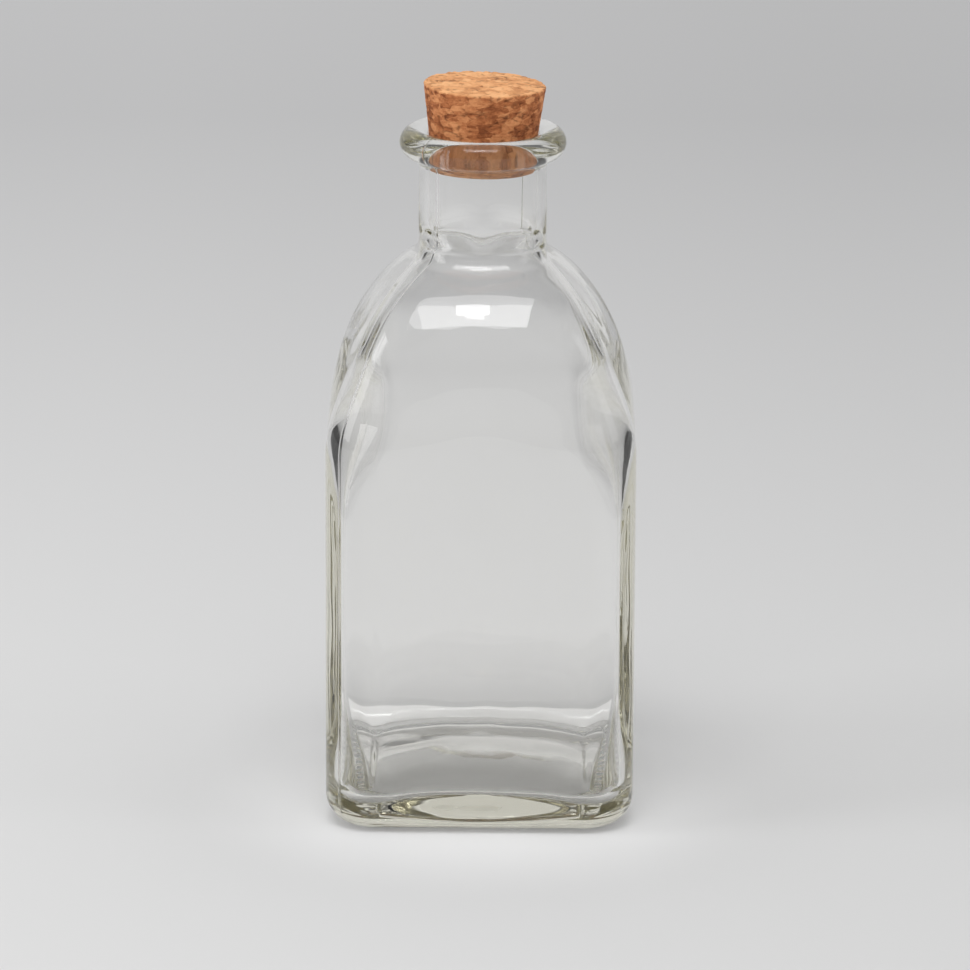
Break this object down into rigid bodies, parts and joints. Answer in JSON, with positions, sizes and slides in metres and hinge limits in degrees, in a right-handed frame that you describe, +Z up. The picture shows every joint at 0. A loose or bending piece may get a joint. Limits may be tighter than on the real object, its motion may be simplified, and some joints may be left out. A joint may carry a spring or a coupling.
{
  "type": "corked glass bottle",
  "caption": "Square clear glass bottle with rounded corners, domed shoulder, round neck, beaded lip and a tapered cork stopper.",
  "frame": {"origin": "centre of the square ring that the bottle stands on, at the standing plane", "axes": "+Z up along the axis of the neck, +X and +Y square to the flat sides, with -Y the side that faces the picture"},
  "size_m": [0.0616, 0.0616, 0.147],
  "materials": {
    "clear_glass": "smooth, clear, with a faint olive tint in the thick edges",
    "cork": "raw cork with fine brown pits and streaks"
  },
  "bodies": {
    "glass": {"bottle": "clear_glass"},
    "cork": {"cork_stopper": "cork"}
  },
  "joints": [
    {"name": "cork_pull", "type": "slide", "parent": "glass", "child": "cork", "axis": [0, 0, 1], "range_m": [0, 0.03]}
  ]
}
